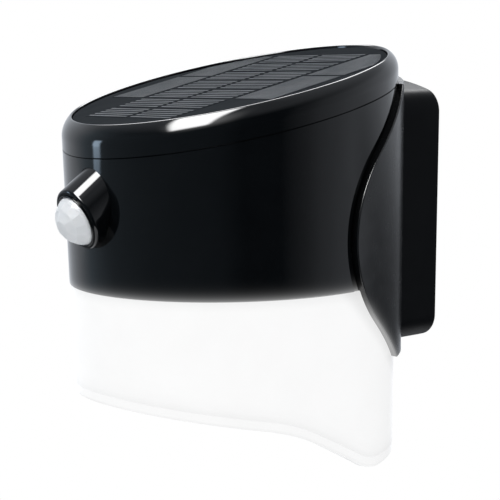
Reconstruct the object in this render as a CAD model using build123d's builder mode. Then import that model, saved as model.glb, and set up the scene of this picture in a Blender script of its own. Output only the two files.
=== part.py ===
from build123d import *
import math
import os

os.makedirs("parts", exist_ok=True)

# Solar wall lantern: a slanted-top drum with a solar panel, a motion sensor and an opal diffuser,
# held in a saddle-shaped cradle that hangs on a box on the wall.
# Millimetres, +Z up. The origin is the centre of the wall plate's rear face, the wall is at Y = 0,
# and the lantern stands out towards -Y.

# Drum
drum_bottom = -26.0          # the drum's lower edge, measured from the wall plate's centre
drum_radius = 75.2           # outer radius at the lower edge
wall_gap = 14.8              # from the drum's lower edge to the wall
drum_draft = 1.1             # the drum widens upwards by this angle, in degrees
drum_wall = 3.2
drum_edge = 0.6              # rounding of the drum's edges
top_tilt = 12.7              # slant of the top, low at the front, in degrees

# Bezel and solar panel, heights on the drum's axis above its lower edge
lip_height = 89.6
bezel_height = 13.6
bezel_seam = 0.25            # open line between drum and bezel
bezel_round = 3.8            # rounded shoulder
bezel_rim = 5.0              # from the outer face in to the panel pocket
bezel_ledge = 4.6            # width of the ledge under the panel
ledge_thickness = 2.4
bezel_skirt = 2.0            # wall of the skirt inside the drum
skirt_depth = 3.0
panel_recess = 1.2           # panel face below the lip
panel_thickness = 2.2
panel_clearance = 0.3
gasket_thickness = 1.0
cell_thickness = 0.2
cell_width = 32.0
cell_length = 15.6
cell_gap = 1.2
cell_rows = 7
cell_edge = 2.0              # clear border of the panel
side_cell_width = 26.0
side_cell_length = 40.0
side_cell_gap = 3.0
side_cell_y = 16.0           # the side cells sit towards the wall
bezel_screw_inset = 8.5      # from the drum's radius in to the screws
bezel_screw_count = 4
bezel_post_radius = 4.0
bezel_lug_radius = 9.5
bezel_lug_depth = 5.0
lug_gap = 1.0                # between the skirt and the lugs
bezel_screw_bite = 7.0

# Rear cradle
cradle_recess = 1.6          # the drum is stepped in under the cradle
cradle_proud = 2.7           # the cradle stands out from the drum
cradle_clearance = 0.15
groove_width = 3.7           # shadow gap in front of the cradle
nose_y = 7.6                 # front end of the cradle's side view, behind the drum's axis
nose_height = 21.6           # height of that end above the drum's lower edge
nose_radius = 50.5
flank_angle = 43.5           # slope of the straight flanks, in degrees
cradle_bottom = -34.7
cradle_edge = 0.6            # rounding of the cradle's edges
cradle_seam = 0.6            # below the bezel's seam
skirt_gap = 0.5              # the cradle's skirt clears the diffuser

# Wall box and wall plate
box_half_width = 43.6
box_half_height = 64.4
box_lean = 1.9               # the box narrows downwards by this angle at each side
lean_height = 58.3           # the sides meet the arched ends at this height above and below the centre
arch_radius = 120.0
box_corner = 11.0
box_edge = 0.8               # rounding along the wall
box_wall = 3.0
box_front = 37.5             # the box is blanked out to here, behind the drum's axis, before the saddle cut
saddle_gap = 0.4
plate_thickness = 2.5
plate_clearance = 0.2
slot_x = 28.0                # wall screw slots, each side of the centre
slot_width = 4.5
slot_length = 9.0
access_radius = 6.0
plate_screw_x = 30.0
plate_screw_z = 42.0
plate_post_radius = 4.0
plate_sink = 1.4             # the plate's screw heads lie below its rear face

# Hanging tongue
tongue_bottom = 62.0         # above the drum's lower edge
tongue_top = 86.0
tongue_neck = 14.0
tongue_head = 24.0
tongue_head_thickness = 2.4
tongue_clearance = 0.4

# Diffuser and light tray, heights above the drum's lower edge
diffuser_inset = 0.7
diffuser_wall = 2.6
diffuser_front = -48.8       # lowest line at the very front
ogee_slope = 7.6             # the floor falls gently from the front, in degrees
ogee_y = -44.0               # where the floor starts to bend, from the drum's axis
crest_radius = 90.0
crest_turn = 23.4            # degrees
ogee_run = 15.0              # straight run between the two bends
trough_radius = 52.0
trough_turn = 29.5           # degrees
diffuser_round = 4.5
spigot_wall = 2.2
spigot_height = 8.0
spigot_root = 6.0
spigot_clearance = 0.3
seal_width = 1.8
tray_height = 10.0
tray_thickness = 2.4
tray_clearance = 0.3
tray_screw_inset = 13.0       # from the drum's radius in to the screws
tray_screw_count = 4
tray_boss_radius = 4.6
tray_boss_height = 14.0
tray_web = 5.0
led_board_radius = 36.0
board_thickness = 1.6
led_circle = 25.0
led_count = 12
led_size = 3.5
led_thickness = 1.0

# Sensor: a barrel that leaves the drum's front and points down, with its mouth cut to look further up
sensor_reach = 8.3           # centre of the barrel's mouth, in front of the drum's radius
sensor_drop = 56.9           # below the lip, on the drum's axis
sensor_tilt = 36.0           # downward angle of the barrel, in degrees
mouth_tilt = 21.5            # downward angle of its mouth and lens, in degrees
barrel_radius = 13.7
barrel_clearance = 0.15
barrel_bore = 10.4
barrel_length = 27.0
barrel_blank = 10.0           # past the middle of the mouth, before it is cut
barrel_flange = 15.8
pad_radius = 16.2
pad_depth = 24.5
notch_clearance = 0.6
barrel_cut = 48.0            # the barrel's hole is cut this far each way from its mouth
mouth_radius = 12.2
mouth_depth = 2.8
mouth_round = 1.2
collar_proud = 0.7
collar_round = 0.3
fit_clearance = 0.1
lens_radius = 11.2
lens_height = 8.2
lens_wall = 1.1
lens_flange = 12.0
lens_flange_thickness = 1.2
sensor_board_depth = 13.0
sensor_board_thickness = 1.2
sensor_step = 8.8
can_radius = 4.6
can_flange = 5.0
can_flange_thickness = 0.6
can_height = 5.0
can_window_length = 4.6
can_window_width = 3.4
can_lead_radius = 0.3
can_lead_circle = 2.5
can_lead_count = 3
can_standoff = 1.5

# Control board, battery and switch
control_length = 64.0
control_width = 40.0
control_y = -18.0
control_post_radius = 3.2
control_post_height = 6.0
control_post_inset = 5.0
chip_x = 18.0
chip_length = 13.0
chip_width = 10.0
chip_height = 2.4
connector_pitch = 12.0
connector_length = 7.5
connector_width = 5.0
connector_height = 6.0
capacitor_radius = 4.0
capacitor_height = 12.0
battery_radius = 9.1
battery_length = 65.0
battery_y = 27.0
battery_clearance = 0.2
holder_wall = 1.6
holder_end = 2.4
contact_thickness = 0.5
contact_width = 10.0
contact_height = 7.0
switch_height = 30.0         # button axis above the drum's lower edge
button_radius = 5.0
button_clearance = 0.2
button_flange = 6.6
button_flange_thickness = 1.4
button_recess = 0.6          # button face below the cradle's outer face
button_travel = 1.5
button_slack = 0.3
button_seal_wall = 2.0
switch_post_x = 12.0
switch_post_radius = 3.0
switch_board_length = 32.0
switch_board_width = 14.0
switch_size = 6.0
switch_thickness = 2.0
plunger_radius = 1.75
plunger_height = 0.4

# Screws
screw_radius = 1.5
screw_head_radius = 2.8
screw_head_height = 2.0
screw_head_round = 0.7
screw_cross_length = 3.2
screw_cross_width = 0.7
screw_cross_depth = 0.9
screw_clearance = 0.1
screw_bite = 9.0
screw_turn = 45.0            # rings of four screws stand off the axes by this angle
cradle_screw_x = 22.0
cradle_screw_low = 22.0      # above the drum's lower edge
cradle_screw_drop = 22.0     # the upper ones, below the bezel's seam
cradle_pad_radius = 5.0
cradle_pad_reach = 11.0      # the pads stand in by this from the drum's radius
cradle_skin = 0.7            # left over in front of the screw's point

# Worked-out values
reach = 150.0                # longer than the lantern, for cutting right through
slant_reach = 125.0          # the same for slanted cuts, inside the tall cone they are taken from
tilt = math.radians(top_tilt)
axis_to_wall = drum_radius + wall_gap
seam_height = lip_height - bezel_height
panel_top = lip_height - panel_recess
panel_bottom = panel_top - panel_thickness
ledge_top = panel_bottom - gasket_thickness
ledge_bottom = ledge_top - ledge_thickness
ledge_middle = ledge_bottom + ledge_thickness / 2
lug_top = seam_height - skirt_depth - lug_gap
panel_inset = bezel_rim + panel_clearance
bezel_screw_circle = drum_radius - bezel_screw_inset
tray_screw_circle = drum_radius - tray_screw_inset
cradle_pad_depth = drum_radius - cradle_pad_reach
cradle_screw_heights = (cradle_screw_low, seam_height - cradle_screw_drop)
saddle_out = cradle_proud + saddle_gap
drum_origin = Vector(0, -axis_to_wall, drum_bottom)
section_plane = Plane(origin=drum_origin, x_dir=(1, 0, 0), z_dir=(0, -1, 0))
side_plane = Plane(origin=drum_origin, x_dir=(0, 1, 0), z_dir=(1, 0, 0))
drum_axis = Axis(drum_origin, (0, 0, 1))
sensor_mouth = drum_origin + Vector(0, -drum_radius - sensor_reach, lip_height - sensor_drop)
low_cradle_radius = drum_radius + cradle_screw_low * math.tan(math.radians(drum_draft)) + cradle_proud
cradle_screw_end = math.sqrt(low_cradle_radius**2 - cradle_screw_x**2) - cradle_skin


def write(builder, name):
    """Label a finished piece and write it to its own file."""
    builder.part.label = name
    export_step(builder.part, f"parts/{name}.step")


def drum_r(height):
    """Outer radius of the drum at a height above its lower edge."""
    return drum_radius + height * math.tan(math.radians(drum_draft))


def level(height):
    """A level plane at a height above the drum's lower edge, centred on its axis."""
    return Plane(origin=drum_origin + Vector(0, 0, height))


def slant(height):
    """A plane parallel to the slanted top, at a height on the drum's axis."""
    normal = (0, -math.sin(tilt), math.cos(tilt))
    return Plane(origin=drum_origin + Vector(0, 0, height), x_dir=(1, 0, 0), z_dir=normal)


def upright(y):
    """A plane facing the wall, at a distance behind the drum's axis, level with its lower edge."""
    return Plane(origin=drum_origin + Vector(0, y, 0), x_dir=(-1, 0, 0), z_dir=(0, 1, 0))


def cone(inset, low, high):
    """A solid with the drum's draft, inset from its outer face, between two heights."""
    with BuildPart() as solid:
        with BuildSketch(section_plane):
            with BuildLine():
                Polyline(
                    (0, low),
                    (drum_r(low) - inset, low),
                    (drum_r(high) - inset, high),
                    (0, high),
                    close=True,
                )
            make_face()
        revolve(axis=drum_axis)
    return solid.part


def slanted_cone(inset, low, high):
    """The same solid between two slanted planes."""
    with BuildPart() as solid:
        add(cone(inset, -reach, reach))
        split(bisect_by=slant(low), keep=Keep.TOP)
        split(bisect_by=slant(high), keep=Keep.BOTTOM)
    return solid.part


def facing_down(angle):
    """A plane through the middle of the sensor's mouth that faces the front and down by an angle."""
    turn = math.radians(angle)
    return Plane(origin=sensor_mouth, x_dir=(1, 0, 0), z_dir=(0, -math.cos(turn), -math.sin(turn)))


def section_of(plane):
    """The plane across another one, whose axes are the radius and the distance outwards."""
    return Plane(origin=plane.origin, x_dir=plane.x_dir, z_dir=plane.x_dir.cross(plane.z_dir))


def spun(points, plane):
    """A solid of revolution about a plane's normal, from points of radius and distance outwards."""
    with BuildPart() as solid:
        with BuildSketch(section_of(plane)):
            with BuildLine():
                Polyline(*points, close=True)
            make_face()
        revolve(axis=Axis(plane.origin, plane.z_dir))
    return solid.part


def cross(height):
    """A cross recess for a screw's head, cut down from the head's top."""
    with BuildPart() as solid:
        with BuildSketch(Plane.XY.offset(-height)):
            Rectangle(screw_cross_length, screw_cross_width)
            Rectangle(screw_cross_width, screw_cross_length)
        extrude(amount=screw_cross_depth)
    return solid.part


def screw(length):
    """A pan-head screw that points along +Z, with the underside of its head at the origin."""
    with BuildPart() as solid:
        with BuildSketch():
            Circle(screw_radius)
        extrude(amount=length)
        with BuildSketch():
            Circle(screw_head_radius)
        extrude(amount=-screw_head_height)
        top = solid.faces().sort_by(Axis.Z)[0]
        fillet(top.edges(), screw_head_round)
        add(cross(screw_head_height), mode=Mode.SUBTRACT)
    return solid.part


def flat_screw(length):
    """A cheese-head screw for a sunk hole, pointing along +Z from the underside of its head."""
    head_height = plate_sink - screw_clearance
    with BuildPart() as solid:
        with BuildSketch():
            Circle(screw_radius)
        extrude(amount=length)
        with BuildSketch():
            Circle(screw_head_radius)
        extrude(amount=-head_height)
        add(cross(head_height), mode=Mode.SUBTRACT)
    return solid.part


def cradle_side(margin):
    """The cradle's side view, a round nose with straight flanks, grown by margin and run right across."""
    radius = nose_radius + margin
    centre_y = nose_y + nose_radius
    turn = math.radians(90 - flank_angle)
    rise = radius * math.sin(turn)
    tangent_y = centre_y - radius * math.cos(turn)
    far_rise = rise + (reach - tangent_y) * math.tan(math.radians(flank_angle))
    with BuildPart() as solid:
        with BuildSketch(side_plane):
            with BuildLine():
                ThreePointArc(
                    (tangent_y, nose_height - rise),
                    (centre_y - radius, nose_height),
                    (tangent_y, nose_height + rise),
                )
                Polyline(
                    (tangent_y, nose_height + rise),
                    (reach, nose_height + far_rise),
                    (reach, nose_height - far_rise),
                    (tangent_y, nose_height - rise),
                )
            make_face()
        extrude(amount=reach, both=True)
    return solid.part


def diffuser_body(inset, lift, rounding):
    """The closed form of the diffuser: a drafted drum with an ogee floor and a rounded lower edge."""
    with BuildPart() as solid:
        add(cone(inset, -reach, 0))
        with BuildSketch(side_plane):
            with BuildLine():
                fall = (drum_radius + ogee_y) * math.tan(math.radians(ogee_slope))
                front = Line((-drum_radius, diffuser_front + lift), (ogee_y, diffuser_front + lift - fall))
                crest = JernArc(front @ 1, front % 1, crest_radius, -crest_turn)
                run = Line(crest @ 1, crest @ 1 + crest % 1 * ogee_run)
                trough = JernArc(run @ 1, run % 1, trough_radius, trough_turn)
                rear = Line(trough @ 1, trough @ 1 + trough % 1 * drum_radius)
                Polyline(rear @ 1, ((rear @ 1).X, -2 * reach), (-drum_radius, -2 * reach), front @ 0)
            make_face()
        extrude(amount=reach, both=True, mode=Mode.SUBTRACT)
        side = solid.faces().filter_by(GeomType.CONE)[0]
        rim = side.edges().filter_by(GeomType.LINE, reverse=True).sort_by(Axis.Z)[:-1]
        fillet(rim, rounding)
    return solid.part


def box_outline(margin):
    """The wall box seen from the front: leaning sides and arched ends, moved in by margin."""
    lean = math.tan(math.radians(box_lean))

    def arch(x):
        return box_half_height - arch_radius + math.sqrt(arch_radius**2 - x**2)

    upper_x = box_half_width + lean * lean_height
    lower_x = box_half_width - lean * lean_height
    with BuildSketch() as outline:
        with BuildLine():
            ThreePointArc((-upper_x, arch(upper_x)), (0, arch(0)), (upper_x, arch(upper_x)))
            Line((upper_x, arch(upper_x)), (lower_x, -arch(lower_x)))
            ThreePointArc((lower_x, -arch(lower_x)), (0, -arch(0)), (-lower_x, -arch(lower_x)))
            Line((-lower_x, -arch(lower_x)), (-upper_x, arch(upper_x)))
        make_face()
        fillet(outline.vertices(), box_corner)
        if margin:
            offset(amount=-margin, mode=Mode.REPLACE)
    return outline.sketch


sensor_plane = facing_down(sensor_tilt)
sensor_axis = Axis(sensor_mouth, sensor_plane.z_dir)
mouth_plane = facing_down(mouth_tilt)
mouth_axis = Axis(sensor_mouth, mouth_plane.z_dir)

# Fittings inside the drum, trimmed to the middle of its wall
flange_wall = drum_r(switch_height - button_flange) - drum_wall
flange_back = math.sqrt(flange_wall**2 - button_flange**2) - button_slack
switch_face = flange_back - button_flange_thickness - button_travel - button_slack
switch_seat = switch_face - plunger_height - switch_thickness
web_end = drum_radius - drum_wall / 2
with BuildPart() as fittings:
    # Lugs that take the bezel's screws
    with BuildSketch(slant(lug_top)):
        with PolarLocations(bezel_screw_circle, bezel_screw_count, start_angle=screw_turn):
            Circle(bezel_lug_radius)
    extrude(amount=-bezel_lug_depth)
    # Bosses and webs that take the light tray's screws
    with BuildSketch(level(tray_height + tray_thickness)):
        with PolarLocations(tray_screw_circle, tray_screw_count, start_angle=screw_turn):
            Circle(tray_boss_radius)
        with PolarLocations((tray_screw_circle + web_end) / 2, tray_screw_count, start_angle=screw_turn):
            Rectangle(web_end - tray_screw_circle, tray_web)
    extrude(amount=tray_boss_height)
    # Pad that the sensor barrel seats on
    with BuildSketch(sensor_plane.offset(-pad_depth)):
        Circle(pad_radius)
    extrude(amount=pad_depth)
    # Pads for the cradle's screws and posts for the switch board
    with BuildSketch(upright(cradle_pad_depth)):
        for height in cradle_screw_heights:
            with Locations((cradle_screw_x, height), (-cradle_screw_x, height)):
                Circle(cradle_pad_radius)
    extrude(amount=axis_to_wall)
    with BuildSketch(upright(switch_seat)):
        with Locations((switch_post_x, switch_height), (-switch_post_x, switch_height)):
            Circle(switch_post_radius)
    extrude(amount=axis_to_wall)
    add(cone((cradle_recess + drum_wall) / 2, 0, reach), mode=Mode.INTERSECT)

# Step in the drum under the cradle, which leaves the shadow gap in front of it
with BuildPart() as cradle_step:
    add(cradle_side(groove_width))
    add(cone(cradle_recess, -reach, reach), mode=Mode.SUBTRACT)

# Drum shell
with BuildPart() as drum_shell:
    add(cone(0, 0, reach))
    split(bisect_by=slant(seam_height), keep=Keep.BOTTOM)
    lower_edge = drum_shell.edges().sort_by(Axis.Z)[0]
    fillet(lower_edge, drum_edge)
    add(cradle_step.part, mode=Mode.SUBTRACT)
    add(cone(drum_wall, -reach, reach), mode=Mode.SUBTRACT)
    add(fittings.part)
    with BuildSketch(sensor_plane):
        Circle(barrel_radius + barrel_clearance)
    extrude(amount=barrel_cut, both=True, mode=Mode.SUBTRACT)
    with BuildSketch(slant(lug_top)):
        with PolarLocations(bezel_screw_circle, bezel_screw_count, start_angle=screw_turn):
            Circle(screw_radius + screw_clearance)
    extrude(amount=-bezel_lug_depth, mode=Mode.SUBTRACT)
    with BuildSketch(level(tray_height + tray_thickness)):
        with PolarLocations(tray_screw_circle, tray_screw_count, start_angle=screw_turn):
            Circle(screw_radius + screw_clearance)
    extrude(amount=screw_bite, mode=Mode.SUBTRACT)
    with BuildSketch(upright(cradle_pad_depth)):
        for height in cradle_screw_heights:
            with Locations((cradle_screw_x, height), (-cradle_screw_x, height)):
                Circle(screw_radius + screw_clearance)
    extrude(amount=axis_to_wall, mode=Mode.SUBTRACT)
    with BuildSketch(upright(cradle_pad_depth)):
        with Locations((0, switch_height)):
            Circle(button_radius + button_clearance)
    extrude(amount=axis_to_wall, mode=Mode.SUBTRACT)
write(drum_shell, "drum_shell")

# Skirt of the bezel, which centres it in the drum
with BuildPart() as skirt:
    add(slanted_cone(drum_wall + spigot_clearance, seam_height - skirt_depth, ledge_middle))
    add(slanted_cone(drum_wall + spigot_clearance + bezel_skirt, 0, slant_reach), mode=Mode.SUBTRACT)

# Bezel ring
with BuildPart() as bezel_ring:
    add(slanted_cone(0, seam_height + bezel_seam, lip_height))
    add(slanted_cone(bezel_rim, ledge_top, slant_reach), mode=Mode.SUBTRACT)
    lip = bezel_ring.faces().sort_by(Axis(drum_origin, slant(0).z_dir))[-1]
    fillet(lip.outer_wire().edges(), bezel_round)
    add(slanted_cone(bezel_rim + bezel_ledge, 0, slant_reach), mode=Mode.SUBTRACT)
    add(slanted_cone(drum_wall, 0, ledge_bottom), mode=Mode.SUBTRACT)
    add(skirt.part)
    with BuildSketch(slant(lug_top)):
        with PolarLocations(bezel_screw_circle, bezel_screw_count, start_angle=screw_turn):
            Circle(bezel_post_radius)
    extrude(amount=(ledge_middle - lug_top) * math.cos(tilt))
    with BuildSketch(slant(lug_top)):
        with PolarLocations(bezel_screw_circle, bezel_screw_count, start_angle=screw_turn):
            Circle(screw_radius + screw_clearance)
    extrude(amount=bezel_screw_bite + screw_clearance, mode=Mode.SUBTRACT)
    # Notch in the skirt over the sensor's pad
    with BuildSketch(sensor_plane):
        Circle(pad_radius + notch_clearance)
    extrude(amount=-barrel_cut, mode=Mode.SUBTRACT)
write(bezel_ring, "bezel_ring")

# Panel gasket
with BuildPart() as panel_gasket:
    add(slanted_cone(panel_inset, ledge_top, panel_bottom))
    add(slanted_cone(bezel_rim + bezel_ledge, 0, slant_reach), mode=Mode.SUBTRACT)
write(panel_gasket, "panel_gasket")

# Solar panel: a laminated board, with the cells as thin plates on its face
with BuildPart() as solar_panel:
    add(slanted_cone(panel_inset, panel_bottom, panel_top))
write(solar_panel, "solar_panel")

with BuildPart() as solar_cells:
    with BuildSketch(slant(panel_top)):
        with GridLocations(cell_width + cell_gap, cell_length + cell_gap, 2, cell_rows):
            Rectangle(cell_width, cell_length)
        side_x = cell_width + cell_gap + (side_cell_width + side_cell_gap) / 2
        with Locations((0, side_cell_y)):
            with GridLocations(2 * side_x, side_cell_length + cell_gap, 2, 2):
                Rectangle(side_cell_width, side_cell_length)
    extrude(amount=cell_thickness)
    add(slanted_cone(panel_inset + cell_edge, 0, slant_reach), mode=Mode.INTERSECT)
write(solar_cells, "solar_cells")

# Bezel screws, from below the drum's lugs up into the bezel's posts
with BuildPart() as bezel_screws:
    for spot in PolarLocations(bezel_screw_circle, bezel_screw_count, start_angle=screw_turn).local_locations:
        seat = slant(lug_top).location * spot * Pos(0, 0, -bezel_lug_depth)
        add(seat * screw(bezel_lug_depth + bezel_screw_bite))
write(bezel_screws, "bezel_screws")

# Sensor barrel
board_seat = -sensor_board_depth - sensor_board_thickness
with BuildPart() as sensor_barrel:
    add(
        spun(
            [
                (sensor_step, -barrel_length),
                (barrel_flange, -barrel_length),
                (barrel_flange, -pad_depth),
                (barrel_radius, -pad_depth),
                (barrel_radius, barrel_blank),
                (barrel_bore, barrel_blank),
                (barrel_bore, board_seat),
                (sensor_step, board_seat),
            ],
            sensor_plane,
        )
    )
    split(bisect_by=mouth_plane, keep=Keep.BOTTOM)
    mouth = sensor_barrel.faces().sort_by(mouth_axis)[-1]
    fillet(mouth.outer_wire().edges(), mouth_round)
    with BuildSketch(mouth_plane):
        Circle(mouth_radius)
    extrude(amount=-mouth_depth, mode=Mode.SUBTRACT)
write(sensor_barrel, "sensor_barrel")

# Sensor collar, which holds the lens by its flange
collar_base = -mouth_depth + lens_flange_thickness
with BuildPart() as sensor_collar:
    add(
        spun(
            [
                (lens_radius + fit_clearance, collar_base),
                (mouth_radius - fit_clearance, collar_base),
                (mouth_radius - fit_clearance, collar_proud),
                (lens_radius + fit_clearance, collar_proud),
            ],
            mouth_plane,
        )
    )
    fillet(sensor_collar.edges().group_by(mouth_axis)[-1], collar_round)
write(sensor_collar, "sensor_collar")

# Sensor lens: a thin dome with a skirt and a flange
dome_radius = (lens_radius**2 + lens_height**2) / (2 * lens_height)
with BuildPart() as sensor_lens:
    with BuildSketch(section_of(mouth_plane)):
        with BuildLine():
            RadiusArc((lens_radius, 0), (0, lens_height), -dome_radius)
            Line((0, lens_height), (0, lens_height - lens_wall))
            RadiusArc((0, lens_height - lens_wall), (lens_radius - lens_wall, 0), dome_radius - lens_wall)
            Polyline(
                (lens_radius - lens_wall, 0),
                (lens_radius - lens_wall, -mouth_depth),
                (lens_flange, -mouth_depth),
                (lens_flange, collar_base),
                (lens_radius, collar_base),
                (lens_radius, 0),
            )
        make_face()
    revolve(axis=mouth_axis)
write(sensor_lens, "sensor_lens")

# Sensor board and the detector can on it
with BuildPart() as sensor_board:
    with BuildSketch(sensor_plane.offset(-sensor_board_depth)):
        Circle(barrel_bore - fit_clearance)
        with PolarLocations(can_lead_circle, can_lead_count):
            Circle(can_lead_radius + fit_clearance, mode=Mode.SUBTRACT)
    extrude(amount=-sensor_board_thickness)
write(sensor_board, "sensor_board")

can_base = -sensor_board_depth + can_standoff
with BuildPart() as pir_sensor:
    with BuildSketch(sensor_plane.offset(can_base)):
        Circle(can_flange)
    extrude(amount=can_flange_thickness)
    with BuildSketch(sensor_plane.offset(can_base)):
        Circle(can_radius)
    extrude(amount=can_height)
    can_top = pir_sensor.faces().sort_by(sensor_axis)[-1]
    fillet(can_top.edges(), can_flange_thickness)
    with BuildSketch(sensor_plane.offset(can_base + can_height)):
        Rectangle(can_window_length, can_window_width)
    extrude(amount=-can_flange_thickness / 2, mode=Mode.SUBTRACT)
    with BuildSketch(sensor_plane.offset(can_base)):
        with PolarLocations(can_lead_circle, can_lead_count):
            Circle(can_lead_radius)
    extrude(amount=-can_standoff - sensor_board_thickness)
write(pir_sensor, "pir_sensor")

# Light tray, which closes the drum and carries the boards and the battery
tray_top = tray_height + tray_thickness
post_x = control_length / 2 - control_post_inset
post_y = control_width / 2 - control_post_inset
with BuildPart() as light_tray:
    add(cone(drum_wall + tray_clearance, tray_height, tray_top))
    with BuildSketch(level(tray_top)):
        with Locations((0, control_y)):
            with GridLocations(2 * post_x, 2 * post_y, 2, 2):
                Circle(control_post_radius)
    extrude(amount=control_post_height)
    with BuildSketch(level(tray_top + control_post_height)):
        with Locations((0, control_y)):
            with GridLocations(2 * post_x, 2 * post_y, 2, 2):
                Circle(screw_radius + screw_clearance)
    extrude(amount=-control_post_height, mode=Mode.SUBTRACT)
    with BuildSketch(level(tray_top)):
        with PolarLocations(tray_screw_circle, tray_screw_count, start_angle=screw_turn):
            Circle(screw_radius + screw_clearance)
    extrude(amount=-tray_thickness, mode=Mode.SUBTRACT)
write(light_tray, "light_tray")

with BuildPart() as tray_screws:
    for spot in PolarLocations(tray_screw_circle, tray_screw_count, start_angle=screw_turn).local_locations:
        add(level(tray_height).location * spot * screw(tray_thickness + screw_bite - screw_clearance))
write(tray_screws, "tray_screws")

# Light board under the tray, with its ring of light-emitting diodes
with BuildPart() as led_board:
    with BuildSketch(level(tray_height)):
        Circle(led_board_radius)
    extrude(amount=-board_thickness)
write(led_board, "led_board")

with BuildPart() as leds:
    with BuildSketch(level(tray_height - board_thickness)):
        with PolarLocations(led_circle, led_count):
            Rectangle(led_size, led_size)
    extrude(amount=-led_thickness)
write(leds, "leds")

# Diffuser
with BuildPart() as diffuser:
    add(diffuser_body(diffuser_inset, 0, diffuser_round))
    inner_round = diffuser_round - diffuser_wall
    add(diffuser_body(diffuser_inset + diffuser_wall, diffuser_wall, inner_round), mode=Mode.SUBTRACT)
    add(cone(drum_wall + spigot_clearance, -spigot_root, spigot_height))
    add(cone(drum_wall + spigot_clearance + spigot_wall, -2 * spigot_root, reach), mode=Mode.SUBTRACT)
write(diffuser, "diffuser")

with BuildPart() as diffuser_seal:
    add(cone(drum_wall + spigot_clearance, spigot_height, tray_height))
    add(cone(drum_wall + spigot_clearance + seal_width, 0, reach), mode=Mode.SUBTRACT)
write(diffuser_seal, "diffuser_seal")

# Control board, its parts and its screws
board_base = tray_top + control_post_height
board_top = board_base + board_thickness
with BuildPart() as control_board:
    with BuildSketch(level(board_base)):
        with Locations((0, control_y)):
            RectangleRounded(control_length, control_width, control_post_inset / 2)
            with GridLocations(2 * post_x, 2 * post_y, 2, 2):
                Circle(screw_radius + screw_clearance, mode=Mode.SUBTRACT)
    extrude(amount=board_thickness)
write(control_board, "control_board")

with BuildPart() as board_components:
    with BuildSketch(level(board_top)):
        with Locations((-chip_x, control_y)):
            Rectangle(chip_length, chip_width)
    extrude(amount=chip_height)
    with BuildSketch(level(board_top)):
        with Locations((chip_x, control_y)):
            with GridLocations(connector_pitch, 0, 2, 1):
                Rectangle(connector_length, connector_width)
    extrude(amount=connector_height)
    with BuildSketch(level(board_top)):
        with Locations((0, control_y)):
            Circle(capacitor_radius)
    extrude(amount=capacitor_height)
write(board_components, "board_components")

with BuildPart() as board_screws:
    for spot in GridLocations(2 * post_x, 2 * post_y, 2, 2).local_locations:
        seat = level(board_top).location * Pos(0, control_y) * spot
        add(seat * Rot(180, 0, 0) * screw(control_post_height))
write(board_screws, "board_screws")

# Battery, its holder and its contacts
battery_axis_height = tray_top + holder_wall + battery_clearance + battery_radius
holder_length = battery_length + 2 * contact_thickness + 2 * holder_end
holder_width = 2 * (battery_radius + battery_clearance + holder_wall)
battery_plane = Plane(
    origin=drum_origin + Vector(0, battery_y, battery_axis_height), x_dir=(0, 1, 0), z_dir=(1, 0, 0)
)
with BuildPart() as battery_holder:
    with BuildSketch(level(tray_top)):
        with Locations((0, battery_y)):
            Rectangle(holder_length, holder_width)
    extrude(amount=battery_axis_height - tray_top)
    with BuildSketch(battery_plane):
        Circle(battery_radius + battery_clearance)
    extrude(amount=battery_length / 2 + contact_thickness, both=True, mode=Mode.SUBTRACT)
write(battery_holder, "battery_holder")

with BuildPart() as battery:
    with BuildSketch(battery_plane):
        Circle(battery_radius)
    extrude(amount=battery_length / 2, both=True)
    chamfer(battery.edges(), battery_clearance * 2)
write(battery, "battery")

with BuildPart() as battery_contacts:
    for side in (-1, 1):
        with BuildSketch(battery_plane.offset(side * battery_length / 2)):
            with Locations((0, -contact_height / 2)):
                Rectangle(contact_width, contact_height)
        extrude(amount=side * contact_thickness)
write(battery_contacts, "battery_contacts")

# Rear cradle: a sleeve round the back of the drum with a tongue that hangs in the wall box
head_front = drum_r(tongue_top) + saddle_out + box_wall + tongue_clearance
with BuildPart() as rear_cradle:
    add(cone(-cradle_proud, cradle_bottom, reach))
    split(bisect_by=slant(seam_height - cradle_seam), keep=Keep.BOTTOM)
    add(cone(cradle_recess - cradle_clearance, -reach, reach), mode=Mode.SUBTRACT)
    add(cone(skirt_gap, -reach, cradle_clearance), mode=Mode.SUBTRACT)
    add(cradle_side(0), mode=Mode.INTERSECT)
    outside = rear_cradle.faces().filter_by(GeomType.CONE).sort_by(SortBy.AREA)[-1]
    fillet(outside.edges(), cradle_edge)
    # Tongue
    tongue_middle = (tongue_bottom + tongue_top) / 2
    with BuildSketch(upright(drum_radius)):
        with Locations((0, tongue_middle)):
            Rectangle(tongue_neck, tongue_top - tongue_bottom)
    extrude(amount=head_front - drum_radius)
    with BuildSketch(upright(head_front)):
        with Locations((0, tongue_middle)):
            Rectangle(tongue_head, tongue_top - tongue_bottom)
    extrude(amount=tongue_head_thickness)
    add(cone(cradle_recess - cradle_clearance, -reach, reach), mode=Mode.SUBTRACT)
    # Holes for the screws and the button
    with BuildSketch(upright(0)):
        for height in cradle_screw_heights:
            with Locations((cradle_screw_x, height), (-cradle_screw_x, height)):
                Circle(screw_radius + screw_clearance)
    extrude(amount=cradle_screw_end, mode=Mode.SUBTRACT)
    with BuildSketch(upright(0)):
        with Locations((0, switch_height)):
            Circle(button_radius + button_clearance + button_seal_wall)
    extrude(amount=axis_to_wall, mode=Mode.SUBTRACT)
write(rear_cradle, "rear_cradle")

with BuildPart() as cradle_screws:
    for height in cradle_screw_heights:
        for x in (-cradle_screw_x, cradle_screw_x):
            add(
                upright(cradle_pad_depth).location
                * Pos(x, height, 0)
                * screw(cradle_screw_end - cradle_pad_depth - screw_clearance)
            )
write(cradle_screws, "cradle_screws")

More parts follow.
